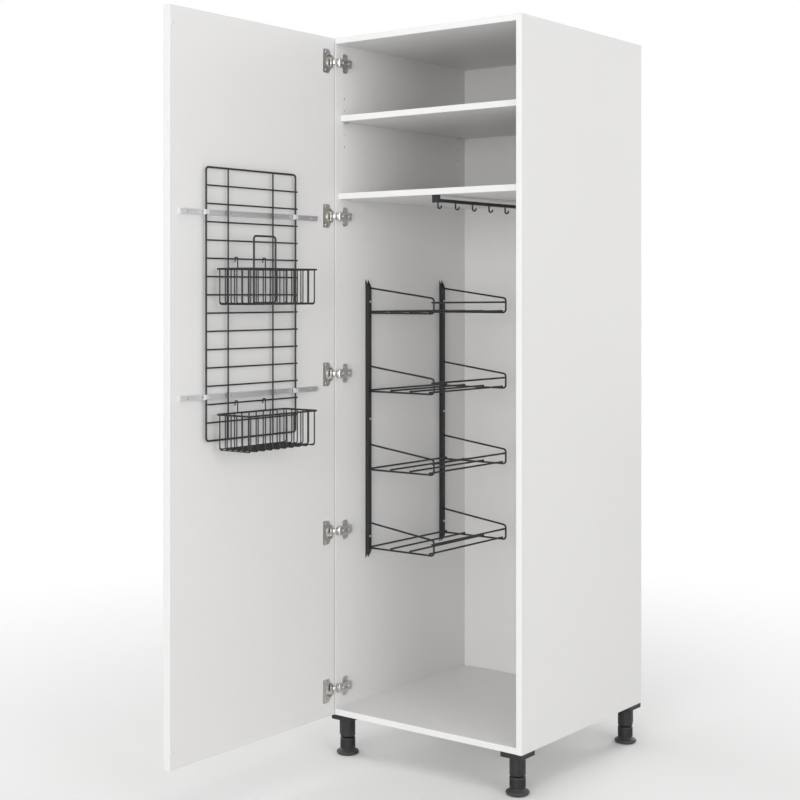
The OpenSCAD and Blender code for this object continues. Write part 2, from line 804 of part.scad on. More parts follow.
// The grip stands on the caddy's floor wires in the middle of the basket
grip_wire = 5;
grip_bend = 8;
grip_shift = 11;
module caddy_grip() {
    foot_z = caddy_rim - basket_h + basket_wire / 2 - weld + grip_wire / 2;
    top_z = caddy_rim + grip_rise;
    grip_x = basket_back + basket_d / 2;
    grip_y = basket_y - grip_shift;
    color(wire_black) in_frame() translate([grip_x, grip_y, 0]) standing_y() {
        bent_wire([[-grip_w / 2 + grip_wire / 2, foot_z], [-grip_w / 2 + grip_wire / 2, top_z],
            [grip_w / 2 - grip_wire / 2, top_z], [grip_w / 2 - grip_wire / 2, foot_z],
            [-grip_w / 2 + grip_wire / 2, foot_z]], grip_wire, grip_bend);
    }
}

buffer_in = 40;
buffer_d = 9;
buffer_clear = 0.5;
buffer_peg = 8;
buffer_peg_d = 5;
module buffer_places() {
    for (z = [door_low + buffer_in, door_low + door_h - buffer_in])
        translate([face_x, edge_y - door_w + board_t / 2, z]) children();
}

module door_buffers() {
    color("gainsboro") in_frame()
        buffer_places() rotate([0, 90, 0]) {
            cylinder(d = buffer_d, h = door_gap - buffer_clear);
            translate([0, 0, bore_end - buffer_peg])
                cylinder(d = buffer_peg_d, h = buffer_peg - bore_end);
        }
}

// An upright of the rack: a folded channel, open to the wall, with mitred ends
rack_head_d = 6.5;
rack_head_t = 1.8;
tier_hole_gap = 0.5;
module rack_upright(y) {
    low = rack_z;
    high = low + rack_h;
    out_x = board_t + upright_w;
    color(wire_black) in_frame() difference() {
        translate([0, y + upright_w / 2, 0]) standing_x() linear_extrude(upright_w)
            polygon([[board_t, low], [out_x, low + mitre_h], [out_x, high - mitre_h], [board_t, high]]);
        translate([board_t - past, y - upright_w / 2 + upright_t, low - past])
            cube([upright_w - upright_t + past, upright_w - 2 * upright_t, rack_h + 2 * past]);
        rack_screw_places(y) rotate([0, -90, 0])
            cylinder(d = rack_screw_d + 2 * bore_gap, h = upright_t + past);
        rack_screw_places(y) rotate([0, 90, 0])
            cylinder(d = rack_screw_d + 2 * bore_gap, h = past);
        for (i = [0 : 3], up = [0, tier_rise])
            translate([board_t + upright_w / 2, y, tier_z(i) + up]) rotate([0, 90, 0])
                cylinder(d = tier_wire + 2 * tier_hole_gap, h = upright_w);
    }
}

module rack_screws() {
    color(steel) in_frame()
        for (y = upright_y)
            rack_screw_places(y) rotate([0, 90, 0]) {
                cylinder(d = rack_head_d, h = rack_head_t);
                translate([0, 0, bore_end - upright_w - rack_screw_in])
                    cylinder(d = rack_screw_d, h = upright_w + rack_screw_in - bore_end);
            }
}

// A rack shelf: two bent side frames, four floor wires and a rail along the free end
tier_bend = 9;
rail_below = 11;
rail_up = tier_lip - rail_below;
tier_floor_wires = 4;
tier_floor_in = 8;
tier_over = 2;
tier_past = 1;
module rack_shelf(i) {
    start_x = board_t + upright_w / 2 - tier_past;
    end_x = board_t + tier_reach;
    layer = tier_wire - weld;
    floor_first = board_t + upright_w + tier_floor_in;
    last_x = end_x - tier_bend - tier_wire / 2 - past;
    color(wire_black) in_frame() translate([0, 0, tier_z(i)]) {
        for (y = upright_y)
            translate([0, y, 0]) standing_x()
                bent_wire([[start_x, tier_rise], [end_x, tier_lip], [end_x, 0], [start_x, 0]],
                    tier_wire, tier_bend, swell = 0.1);
        for (k = [0 : tier_floor_wires - 1]) {
            x = floor_first + k * (last_x - floor_first) / (tier_floor_wires - 1);
            rod([x, upright_y[0] - tier_over, layer], [x, upright_y[1] + tier_over, layer], tier_wire);
        }
        rail_x = end_x - layer;
        rod([rail_x, upright_y[0] - tier_over, rail_up], [rail_x, upright_y[1] + tier_over, rail_up],
            tier_wire);
    }
}

module hook_rail() {
    color(wire_black) in_frame() difference() {
        translate([hook_rail_x - hook_rail_w / 2, hook_rail_front, hook_rail_low])
            cube([hook_rail_w, hook_rail_len, hook_rail_h]);
        for (k = [0 : hook_count - 1]) hook_place(k) translate([0, 0, -past])
            cylinder(d = hook_wire + 2 * bore_gap, h = hook_rail_h + 2 * past);
        bracket_screw_places() translate([0, 0, hook_rail_low - fixed_z - past])
            cylinder(d = bracket_screw_d + 2 * bore_gap, h = hook_rail_h + 2 * past);
    }
}

hook_count = 6;
hook_off = 3;
hook_first = 17;
module hook_place(k) {
    translate([hook_rail_x - hook_off, hook_rail_front + hook_first + k * hook_pitch, hook_rail_low])
        children();
}

// A hook drops from the rail and curls up towards the right panel
module rail_hooks() {
    throw = 11;
    drop = 18;
    tip = 7;
    color(wire_black) in_frame()
        for (k = [0 : hook_count - 1]) hook_place(k) standing_x()
            bent_wire([[0, hook_rail_h - 1], [0, -drop + hook_wire / 2], [throw, -drop + hook_wire / 2],
                [throw, -drop + tip + hook_wire / 2]], hook_wire, throw / 2 - 0.1);
}

head_seat = 2;
bracket_head_d = 5.5;
bracket_head_t = 1.6;
module hook_rail_brackets() {
    color(wire_black) in_frame() difference() {
        for (y = bracket_ys)
            translate([hook_rail_x - bracket_w / 2, y, hook_rail_low - head_seat])
                cube([bracket_w, bracket_t, fixed_z - hook_rail_low + head_seat]);
        translate([hook_rail_x - hook_rail_w / 2 - bore_gap, 0, hook_rail_low - bore_gap])
            cube([hook_rail_w + 2 * bore_gap, body_d, hook_rail_h + 2 * bore_gap]);
        bracket_screw_places() translate([0, 0, -fixed_z + hook_rail_low - head_seat - past])
            cylinder(d = bracket_screw_d + 2 * bore_gap, h = fixed_z - hook_rail_low + head_seat + 2 * past);
    }
}

module bracket_screws() {
    color(steel) in_frame()
        bracket_screw_places() {
            reach = fixed_z - hook_rail_low + head_seat;
            translate([0, 0, -reach - bracket_head_t]) cylinder(d = bracket_head_d, h = bracket_head_t);
            translate([0, 0, -reach])
                cylinder(d = bracket_screw_d, h = reach + bracket_screw_in - bore_end);
        }
}

// Legs stand flush with the carcass's corners
leg_in = leg_plate_w / 2;
leg_xs = [leg_in, body_w - leg_in];
leg_ys = [leg_in, body_d - leg_in];
function leg_at(i) = [leg_xs[i % 2], leg_ys[floor(i / 2)]];
leg_screw_d = 4;
leg_screw_in = 12;
leg_head_d = 8;
leg_head_t = 2;
leg_screw_edge = 13;
leg_screw_off = leg_plate_w / 2 - leg_screw_edge;
socket_deep = 7;
spigot_in = 4;
module leg_screw_places() {
    for (i = [0 : 3], a = [-1, 1], b = [-1, 1]) {
        p = leg_at(i) + [a, b] * leg_screw_off;
        edge = board_t + leg_screw_d;
        if (p[0] > edge && p[0] < body_w - edge && p[1] < inner_d - leg_screw_d)
            translate([p[0], p[1], body_low]) children();
    }
}

module leg_plate(i) {
    nip = 4;
    w = leg_plate_w;
    p = leg_at(i);
    color(plastic_black) in_frame() difference() {
        translate([p[0] - w / 2, p[1] - w / 2, body_low - leg_plate_t]) linear_extrude(leg_plate_t)
            polygon([[nip, 0], [w - nip, 0], [w, nip], [w, w - nip], [w - nip, w], [nip, w],
                [0, w - nip], [0, nip]]);
        translate([p[0], p[1], body_low - leg_plate_t - past])
            cylinder(d = leg_d - 2 * spigot_in + 2 * bore_gap, h = socket_deep + past);
        leg_screw_places() translate([0, 0, -leg_plate_t - past])
            cylinder(d = leg_screw_d + 2 * bore_gap, h = leg_plate_t + 2 * past);
    }
}

module leg_screws() {
    color(steel) in_frame()
        leg_screw_places() {
            translate([0, 0, -leg_plate_t - leg_head_t]) cylinder(d = leg_head_d, h = leg_head_t);
            translate([0, 0, -leg_plate_t])
                cylinder(d = leg_screw_d, h = leg_plate_t + leg_screw_in - bore_end);
        }
}

// The leg tube: a spigot in the plate's socket, a plain tube and a bore for the foot's stem
ring_gap = 2;
rib_w = 4;
rib_out = 1.6;
rib_up = 6;
tube_edge = 2;
stem_below = 4;
function rib_turn(i) = [225, -45, 135, 45][i];
tube_low = foot_h + adjuster_h + ring_gap;
tube_top = body_low - leg_plate_t;
stem_top = body_low - leg_plate_t - stem_below;
module leg_tube(i) {
    p = leg_at(i);
    r = leg_d / 2;
    spigot_r = r - spigot_in;
    spigot_top = tube_top + socket_deep - bore_gap;
    color(plastic_black) in_frame() translate([p[0], p[1], 0]) {
        rotate_extrude()
            polygon([
                [stem_d / 2 + 2 * bore_gap, tube_low], [r - tube_edge, tube_low],
                [r, tube_low + tube_edge], [r, tube_top], [spigot_r, tube_top],
                [spigot_r, spigot_top], [0, spigot_top], [0, stem_top + bore_end],
                [stem_d / 2 + 2 * bore_gap, stem_top + bore_end]
            ]);
        rotate([0, 0, rib_turn(i)])
            translate([r - tube_edge, -rib_w / 2, tube_low + rib_up])
                cube([tube_edge + rib_out, rib_w, tube_top - tube_low - rib_up]);
    }
}

// The adjusting foot: stem, knurled adjuster and a flared flange
flutes = 12;
flute_d = 4;
flute_in = 6;
flange_under = 6;
flange_lip = 1;
lip_low = 3;
lip_mid = 6;
lip_high = 8.5;
flange_neck_h = 2;
flange_neck_in = 2;
ring_low_edge = 2.5;
ring_top_edge = 4;
module foot(i) {
    p = leg_at(i);
    r = leg_d / 2;
    f = foot_d / 2;
    ring_top = foot_h + adjuster_h;
    color(plastic_black) in_frame() translate([p[0], p[1], 0]) difference() {
        rotate_extrude()
            polygon([
                [0, 0], [f - flange_under, 0], [f - flange_lip, lip_low], [f, lip_mid],
                [f - flange_lip, lip_high], [r + flange_lip, foot_h - flange_neck_h],
                [r - flange_neck_in, foot_h], [r, foot_h + ring_low_edge], [r, ring_top - ring_top_edge],
                [r - ring_top_edge, ring_top], [stem_d / 2, ring_top],
                [stem_d / 2, stem_top], [0, stem_top]
            ]);
        for (k = [0 : flutes - 1])
            rotate([0, 0, k * 360 / flutes])
                translate([r + flute_d / 4, 0, foot_h + flute_in])
                    cylinder(d = flute_d, h = adjuster_h - 2 * flute_in);
    }
}

left_side_panel();
right_side_panel();
top_panel();
bottom_panel();
back_panel();
fixed_shelf();
loose_shelf();
shelf_pins();
dowels();
hinge_plates();
hinge_plate_screws();
hinge_arm_screws();
hinge_arm(0);  // hinge_arm_1
hinge_arm(1);  // hinge_arm_2
hinge_arm(2);  // hinge_arm_3
hinge_arm(3);  // hinge_arm_4
hinge_arm(4);  // hinge_arm_5
rack_upright(upright_y[0]);  // rack_upright_front
rack_upright(upright_y[1]);  // rack_upright_rear
rack_screws();
rack_shelf(0);  // rack_shelf_1
rack_shelf(1);  // rack_shelf_2
rack_shelf(2);  // rack_shelf_3
rack_shelf(3);  // rack_shelf_4
hook_rail();
hook_rail_brackets();
rail_hooks();
bracket_screws();
leg_plate(0);  // leg_plate_1
leg_plate(1);  // leg_plate_2
leg_plate(2);  // leg_plate_3
leg_plate(3);  // leg_plate_4
leg_screws();
leg_tube(0);  // leg_tube_1
leg_tube(1);  // leg_tube_2
leg_tube(2);  // leg_tube_3
leg_tube(3);  // leg_tube_4
foot(0);  // foot_1
foot(1);  // foot_2
foot(2);  // foot_3
foot(3);  // foot_4
door_panel();
hinge_cup(0);  // hinge_cup_1
hinge_cup(1);  // hinge_cup_2
hinge_cup(2);  // hinge_cup_3
hinge_cup(3);  // hinge_cup_4
hinge_cup(4);  // hinge_cup_5
hinge_pins();
cup_screws();
mounting_rail(false);  // lower_rail
mounting_rail(true);  // upper_rail
rail_screws();
wire_grid();
grid_clips();
caddy_basket();
caddy_grip();
lower_basket();
door_buffers();
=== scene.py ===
import json
import math

import bmesh
import bpy
from mathutils import Matrix, Vector


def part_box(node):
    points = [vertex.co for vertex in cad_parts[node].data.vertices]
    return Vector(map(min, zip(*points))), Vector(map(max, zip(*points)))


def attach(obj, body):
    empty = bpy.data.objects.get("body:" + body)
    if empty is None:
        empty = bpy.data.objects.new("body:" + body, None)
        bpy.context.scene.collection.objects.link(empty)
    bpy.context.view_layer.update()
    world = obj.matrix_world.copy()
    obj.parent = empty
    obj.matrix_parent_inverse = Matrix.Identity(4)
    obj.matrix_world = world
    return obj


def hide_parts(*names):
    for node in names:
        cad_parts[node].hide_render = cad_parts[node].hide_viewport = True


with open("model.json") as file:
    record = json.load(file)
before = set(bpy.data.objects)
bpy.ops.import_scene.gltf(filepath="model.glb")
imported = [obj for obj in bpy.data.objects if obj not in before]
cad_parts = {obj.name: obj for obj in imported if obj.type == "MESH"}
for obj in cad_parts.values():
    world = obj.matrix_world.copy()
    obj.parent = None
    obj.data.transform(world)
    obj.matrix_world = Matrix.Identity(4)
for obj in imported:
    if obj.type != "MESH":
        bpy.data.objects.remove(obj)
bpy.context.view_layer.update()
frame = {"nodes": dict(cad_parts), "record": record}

nodes = frame["nodes"]
bodyOf = {name: body for body, names in frame["record"]["behaviour"]["bodies"].items() for name in names}
slotOf = {row["node"]: row["material_slot"] for row in frame["record"]["subparts"]}
bpy.ops.object.select_all(action="DESELECT")
print("frame loaded:", len(nodes), "nodes")

# Camera: level, with the horizon above the middle of the picture
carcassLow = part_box("bottom_panel")[0].z
camera = {
    "place": (2.267, -3.0388, carcassLow + 1.1128),
    "turn": 37.51,               # degrees to the left of straight ahead
    "sensor": 36,
    "lens": 67.4,
    "shiftY": -0.1325,
    "reach": 100,
}


def makeCamera():
    bpy.ops.object.camera_add(location=camera["place"],
                              rotation=(math.pi / 2, 0, math.radians(camera["turn"])))
    made = bpy.context.object
    made.data.sensor_width = camera["sensor"]
    made.data.lens = camera["lens"]
    made.data.shift_y = camera["shiftY"]
    made.data.clip_end = camera["reach"]
    bpy.context.scene.camera = made


makeCamera()


# Shader maths: a Signal wraps a socket, and an expression on it adds Math nodes
class Signal:
    def __init__(self, paint, socket):
        self.paint = paint
        self.socket = socket

    def calc(self, operation, *values):
        return self.paint.node("ShaderNodeMath", {"operation": operation}, dict(enumerate(values)))

    def __add__(self, other):
        return self.calc("ADD", self, other)

    def __radd__(self, other):
        return self.calc("ADD", other, self)

    def __sub__(self, other):
        return self.calc("SUBTRACT", self, other)

    def __rsub__(self, other):
        return self.calc("SUBTRACT", other, self)

    def __mul__(self, other):
        return self.calc("MULTIPLY", self, other)

    def __rmul__(self, other):
        return self.calc("MULTIPLY", other, self)

    def root(self):
        return self.calc("SQRT", self)

    def over(self, value):
        return self.calc("GREATER_THAN", self, value)

    def near(self, value, reach):
        return self.calc("COMPARE", self, value, reach)

    def clamp(self):
        return self.calc("MINIMUM", self.calc("MAXIMUM", self, 0.0), 1.0)


# The nodes of a material, or of the world
class Paint:
    def __init__(self, owner):
        self.owner = owner
        owner.use_nodes = True
        self.tree = owner.node_tree
        self.tree.nodes.clear()

    def node(self, kind, settings=None, values=None, out=0):
        made = self.tree.nodes.new(kind)
        for name, value in (settings or {}).items():
            if name == "stops":
                ramp = made.color_ramp.elements
                for stop, (place, level) in zip(ramp, value):
                    stop.position = place
                    stop.color = (level, level, level, 1)
            else:
                setattr(made, name, value)
        for key, value in (values or {}).items():
            if isinstance(value, Signal):
                self.tree.links.new(value.socket, made.inputs[key])
            else:
                made.inputs[key].default_value = value
        return Signal(self, made.outputs[out]) if made.outputs else None

    def axes(self):
        spot = self.node("ShaderNodeTexCoord", out="Object")
        return [self.node("ShaderNodeSeparateXYZ", values={0: spot}, out=k) for k in range(3)]

    def noise(self, scale, detail, stretch=(1, 1, 1), grain=0.5):
        spot = self.node("ShaderNodeTexCoord", out="Object")
        place = self.node("ShaderNodeMapping", values={"Vector": spot, "Scale": stretch})
        return self.node("ShaderNodeTexNoise", values={
            "Vector": place, "Scale": scale, "Detail": detail, "Roughness": grain})

    def ramp(self, signal, low, high):
        return self.node("ShaderNodeValToRGB", {"stops": [(low, 0), (high, 1)]}, {0: signal})

    def mix(self, share, a, b):
        return self.node("ShaderNodeMix", {"data_type": "RGBA"}, {0: share, 6: a, 7: b}, 2)

    def bump(self, height, distance, strength):
        return self.node("ShaderNodeBump", values={
            "Height": height, "Distance": distance, "Strength": strength})

    # 1 where the camera sees a thing itself, in a mirror or through glass, and 0 for other light
    def seen(self):
        direct, mirrored, through = [self.node("ShaderNodeLightPath", out=f"Is {kind} Ray")
                                     for kind in ("Camera", "Glossy", "Transmission")]
        return (direct + mirrored + through).clamp()

    def finish(self, **sockets):
        names = {key: key.replace("_", " ") for key in sockets}
        shader = self.node("ShaderNodeBsdfPrincipled", values={names[k]: v for k, v in sockets.items()})
        self.node("ShaderNodeOutputMaterial", values={"Surface": shader})
        return self.owner


def newPaint(name):
    return Paint(bpy.data.materials.new(name))


def colour(level, warm=0.0):
    return (level * (1 + warm), level, level * (1 - warm), 1)


# In each finish a noise has its scale, detail, stretch and grain, and a bump its height and strength
melamine = {
    "face": colour(0.78, 0.006),
    "shade": colour(0.745, 0.012),
    "band": colour(0.8, 0.002),
    "bandThick": 0.001,
    "seam": colour(0.45, 0.02),
    "seamReach": 0.00012,
    "seamShare": 0.55,
    "cloud": (2.2, 2),
    "cloudShare": 0.7,
    "pearl": (900, 2),
    "pearlShare": 0.3,
    "pearlBump": (0.00004, 0.5),
    "scuff": (46, 6, (1, 1, 0.35), 0.7),
    "scuffStops": (0.62, 0.8),
    "roughness": 0.38,
    "pearlRough": 0.12,
    "scuffRough": 0.1,
    "gloss": 0.45,
}


# White melamine board. Its edge bands lie on the given planes: (axis, position, side that the band is on)
def boardPaint(name, bands):
    paint = newPaint(name)
    cloud = paint.noise(*melamine["cloud"])
    pearl = paint.noise(*melamine["pearl"])
    scuff = paint.ramp(paint.noise(*melamine["scuff"]), *melamine["scuffStops"])
    shade = cloud * melamine["cloudShare"] + pearl * melamine["pearlShare"]
    tone = paint.mix(shade, melamine["face"], melamine["shade"])
    spots = paint.axes()
    for axis, position, side in bands:
        inner = position - side * melamine["bandThick"]
        onBand = (spots[axis] * side).over(inner * side)
        onSeam = spots[axis].near(inner, melamine["seamReach"]) * melamine["seamShare"]
        tone = paint.mix(onBand, tone, melamine["band"])
        tone = paint.mix(onSeam, tone, melamine["seam"])
    rough = melamine["roughness"] + pearl * melamine["pearlRough"] + scuff * melamine["scuffRough"]
    return paint.finish(Base_Color=tone, Roughness=rough, Specular_IOR_Level=melamine["gloss"],
                        Normal=paint.bump(pearl, *melamine["pearlBump"]))


nickel = {
    "bright": (0.74, 0.73, 0.7, 1),
    "dull": (0.6, 0.59, 0.565, 1),
    "brush": (700, 3, (1, 1, 0.06)),
    "brushBump": (0.00003, 0.35),
    "stain": (60, 4),
    "roughness": 0.22,
    "brushRough": 0.16,
    "stainRough": 0.08,
}


def nickelPaint():
    paint = newPaint("nickel")
    brush = paint.noise(*nickel["brush"])
    stain = paint.noise(*nickel["stain"])
    rough = nickel["roughness"] + brush * nickel["brushRough"] + stain * nickel["stainRough"]
    return paint.finish(Base_Color=paint.mix(stain, nickel["bright"], nickel["dull"]), Metallic=1.0,
                        Roughness=rough, Normal=paint.bump(brush, *nickel["brushBump"]))


zinc = {
    "bright": (0.66, 0.68, 0.71, 1),
    "dull": (0.46, 0.47, 0.48, 1),
    "cloud": (420, 4),
    "roughness": 0.3,
    "cloudRough": 0.2,
}


def zincPaint():
    paint = newPaint("zinc")
    cloud = paint.noise(*zinc["cloud"])
    return paint.finish(Base_Color=paint.mix(cloud, zinc["bright"], zinc["dull"]), Metallic=1.0,
                        Roughness=zinc["roughness"] + cloud * zinc["cloudRough"])


coat = {
    "body": (0.014, 0.014, 0.0145, 1),
    "worn": (0.034, 0.034, 0.035, 1),
    "wear": (90, 6, (1, 1, 1), 0.65),
    "wearStops": (0.55, 0.75),
    "wearShare": 0.6,
    "peel": (620, 3),
    "peelBump": (0.00008, 0.6),
    "roughness": 0.36,
    "peelRough": 0.14,
    "wearRough": 0.12,
}


def coatPaint():
    paint = newPaint("blackCoat")
    peel = paint.noise(*coat["peel"])
    wear = paint.ramp(paint.noise(*coat["wear"]), *coat["wearStops"])
    rough = coat["roughness"] + peel * coat["peelRough"] + wear * coat["wearRough"]
    return paint.finish(Base_Color=paint.mix(wear * coat["wearShare"], coat["body"], coat["worn"]),
                        Roughness=rough, Normal=paint.bump(peel, *coat["peelBump"]))


plastic = {
    "body": (0.013, 0.013, 0.0135, 1),
    "dust": (0.11, 0.105, 0.098, 1),
    "dustTop": 0.02,             # metres over the floor
    "dustSpread": (120, 4),
    "dustShare": 0.7,
    "grain": (1500, 2),
    "grainBump": (0.00006, 0.5),
    "roughness": 0.46,
    "grainRough": 0.1,
    "dustRough": 0.2,
}


# Black moulded plastic, with a little dust low down where the feet meet the floor
def plasticPaint():
    paint = newPaint("blackPlastic")
    grain = paint.noise(*plastic["grain"])
    spread = paint.noise(*plastic["dustSpread"])
    height = paint.axes()[2]
    low = (1 - height * (1 / plastic["dustTop"])).clamp()
    tone = paint.mix(low * spread * plastic["dustShare"], plastic["body"], plastic["dust"])
    rough = plastic["roughness"] + grain * plastic["grainRough"] + low * plastic["dustRough"]
    return paint.finish(Base_Color=tone, Roughness=rough,
                        Normal=paint.bump(grain, *plastic["grainBump"]))


greyPlastic = {
    "body": (0.56, 0.565, 0.57, 1),
    "pale": (0.63, 0.635, 0.64, 1),
    "cloud": (60, 3),
    "grain": (1400, 2),
    "grainBump": (0.00006, 0.4),
    "roughness": 0.4,
    "grainRough": 0.12,
}


def greyPlasticPaint():
    paint = newPaint("greyPlastic")
    grain = paint.noise(*greyPlastic["grain"])
    cloud = paint.noise(*greyPlastic["cloud"])
    return paint.finish(Base_Color=paint.mix(cloud, greyPlastic["body"], greyPlastic["pale"]),
                        Roughness=greyPlastic["roughness"] + grain * greyPlastic["grainRough"],
                        Normal=paint.bump(grain, *greyPlastic["grainBump"]))


beech = {
    "pale": (0.62, 0.43, 0.25, 1),
    "dark": (0.5, 0.32, 0.17, 1),
    "rings": (160, 5, (0.08, 1, 1)),
    "roughness": 0.55,
    "ringRough": 0.15,
}


def beechPaint():
    paint = newPaint("beech")
    rings = paint.noise(*beech["rings"])
    return paint.finish(Base_Color=paint.mix(rings, beech["pale"], beech["dark"]),
                        Roughness=beech["roughness"] + rings * beech["ringRough"])


rubber = {
    "pale": (0.78, 0.78, 0.74, 1),
    "dull": (0.7, 0.7, 0.67, 1),
    "haze": (500, 2),
    "roughness": 0.3,
    "hazeRough": 0.15,
    "milky": 0.3,
    "milkyDeep": 0.003,
}


def bufferPaint():
    paint = newPaint("bufferRubber")
    haze = paint.noise(*rubber["haze"])
    return paint.finish(Base_Color=paint.mix(haze, rubber["pale"], rubber["dull"]),
                        Roughness=rubber["roughness"] + haze * rubber["hazeRough"],
                        Subsurface_Weight=rubber["milky"], Subsurface_Scale=rubber["milkyDeep"])


aluminium = {
    "bright": (0.8, 0.805, 0.815, 1),
    "dull": (0.7, 0.705, 0.715, 1),
    "drawn": (900, 3, (1, 0.02, 1)),
    "drawnShare": 0.6,
    "drawnBump": (0.00003, 0.4),
    "haze": (24, 3),
    "hazeShare": 0.4,
    "roughness": 0.3,
    "drawnRough": 0.14,
    "hazeRough": 0.06,
}


def aluminiumPaint():
    paint = newPaint("aluminium")
    drawn = paint.noise(*aluminium["drawn"])
    haze = paint.noise(*aluminium["haze"])
    shade = drawn * aluminium["drawnShare"] + haze * aluminium["hazeShare"]
    rough = aluminium["roughness"] + drawn * aluminium["drawnRough"] + haze * aluminium["hazeRough"]
    return paint.finish(Base_Color=paint.mix(shade, aluminium["bright"], aluminium["dull"]),
                        Metallic=1.0, Roughness=rough,
                        Normal=paint.bump(drawn, *aluminium["drawnBump"]))


slotPaints = {
    "nickel": nickelPaint(),
    "zinc_screws": zincPaint(),
    "black_wire": coatPaint(),
    "aluminium": aluminiumPaint(),
    "black_plastic": plasticPaint(),
    "grey_plastic": greyPlasticPaint(),
    "beech": beechPaint(),
    "buffer_rubber": bufferPaint(),
}


# The planes of a board that are edge-banded
def bandsOf(name):
    low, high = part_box(name)
    front = (1, low.y, -1)
    rear = (1, high.y, 1)
    ends = [(2, low.z, -1), (2, high.z, 1)]
    if name == "door_panel":
        return [front, rear] + ends
    if name == "back_panel":
        return []
    if name.endswith("side_panel"):
        return [front] + ends
    return [front]


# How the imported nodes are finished: lengths in metres, angles in degrees
dressing = {
    "weld": 0.000002,
    "flatAngle": 0.5,
    "cornerAngle": 35,
    "cornerSteps": 3,
    "splitAngle": 28,
    "smoothAngle": 32,           # of the pieces that replace a node
    "rounds": {                  # roundings of corners, by the start of a node's name
        "left_side": 0.0009, "right_side": 0.0009, "top_panel": 0.0005, "bottom_panel": 0.0005,
        "fixed_shelf": 0.0008, "loose_shelf": 0.0008, "door_panel": 0.0007,
        "hinge_plates": 0.0005, "hinge_cup": 0.0003, "shelf_pins": 0.0003,
        "rack_upright": 0.0005, "hook_rail": 0.0006, "lower_rail": 0.0005, "upper_rail": 0.0005,
        "leg_plate": 0.001,
    },
}


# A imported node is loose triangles: they are joined, and corners get a small rounding, wires none
def dressNode(name, slot):
    piece = nodes[name]
    material = slotPaints.get(slot) or boardPaint(name + "Board", bandsOf(name))
    piece.data.materials.clear()
    piece.data.materials.append(material)
    for face in piece.data.polygons:
        face.use_smooth = True
    weld = piece.modifiers.new("weld", "WELD")
    weld.merge_threshold = dressing["weld"]
    width = next((w for start, w in dressing["rounds"].items() if name.startswith(start)), 0)
    if width:
        flat = piece.modifiers.new("flatten", "DECIMATE")
        flat.decimate_type = "DISSOLVE"
        flat.angle_limit = math.radians(dressing["flatAngle"])
        rounding = piece.modifiers.new("corners", "BEVEL")
        rounding.width = width
        rounding.segments = dressing["cornerSteps"]
        rounding.angle_limit = math.radians(dressing["cornerAngle"])
        normals = piece.modifiers.new("normals", "WEIGHTED_NORMAL")
        normals.keep_sharp = True
    else:
        split = piece.modifiers.new("corners", "EDGE_SPLIT")
        split.split_angle = math.radians(dressing["splitAngle"])


for name, slot in slotOf.items():
    dressNode(name, slot)
print("nodes dressed")


# The lowest and highest corner of each loose solid in a node
def solidsOf(name):
    mesh = bmesh.new()
    mesh.from_mesh(nodes[name].data)
    bmesh.ops.remove_doubles(mesh, verts=mesh.verts, dist=dressing["weld"])
    unseen = set(mesh.verts)
    corners = []
    for first in mesh.verts:
        if first not in unseen:
            continue
        unseen.discard(first)
        waiting = [first]
        low = first.co.copy()
        high = first.co.copy()
        while waiting:
            spot = waiting.pop()
            low = Vector(map(min, low, spot.co))
            high = Vector(map(max, high, spot.co))
            for edge in spot.link_edges:
                other = edge.other_vert(spot)
                if other in unseen:
                    unseen.discard(other)
                    waiting.append(other)
        corners.append((low, high))
    mesh.free()
    return sorted(corners, key=lambda pair: tuple(round(v, 6) for v in pair[0]))


# The upright middle line of a node, as (x, y)
def axisOf(name):
    low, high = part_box(name)
    return ((low.x + high.x) / 2, (low.y + high.y) / 2)


# How far a face's normal reaches along an axis: more than this if it looks that way, less if it is a wall
facing = 0.99
wall = 0.5


# Selects the faces whose centre and normal pass the test, and stays in edit mode
def pickFaces(piece, test):
    bpy.ops.object.mode_set(mode="OBJECT")
    bpy.context.tool_settings.mesh_select_mode = (False, False, True)
    mesh = piece.data
    mesh.vertices.foreach_set("select", [False] * len(mesh.vertices))
    mesh.edges.foreach_set("select", [False] * len(mesh.edges))
    for face in mesh.polygons:
        face.select = test(face.center, face.normal)
    bpy.ops.object.mode_set(mode="EDIT")


def applyAll(piece):
    bpy.ops.object.mode_set(mode="OBJECT")
    bpy.context.view_layer.objects.active = piece
    for modifier in list(piece.modifiers):
        bpy.ops.object.modifier_apply(modifier=modifier.name)


def addBlock(centre, size):
    bpy.ops.object.select_all(action="DESELECT")
    bpy.ops.mesh.primitive_cube_add(size=1, location=centre, scale=size)
    made = bpy.context.object
    bpy.ops.object.transform_apply(location=True, rotation=True, scale=True)
    return made


def addCylinder(sides, radius, low, high, centre=(0, 0)):
    bpy.ops.object.select_all(action="DESELECT")
    bpy.ops.mesh.primitive_cylinder_add(vertices=sides, radius=radius, depth=high - low,
                                        location=(*centre, (low + high) / 2))
    made = bpy.context.object
    bpy.ops.object.transform_apply(location=True, rotation=True, scale=True)
    return made


def join(main, *others):
    bpy.ops.object.select_all(action="DESELECT")
    for piece in (main, *others):
        piece.select_set(True)
    bpy.context.view_layer.objects.active = main
    if others:
        bpy.ops.object.join()
    return main


# Cuts the helper out of the piece, or adds it with UNION, and deletes the helper
def combine(piece, helper, operation="DIFFERENCE"):
    step = piece.modifiers.new(helper.name, "BOOLEAN")
    step.object = helper
    step.operation = operation
    applyAll(piece)
    bpy.data.objects.remove(helper)


# Turns a form that faces up so that it faces the given way
def turnTo(way):
    return Vector(way).to_track_quat("Z", "Y").to_matrix().to_4x4()


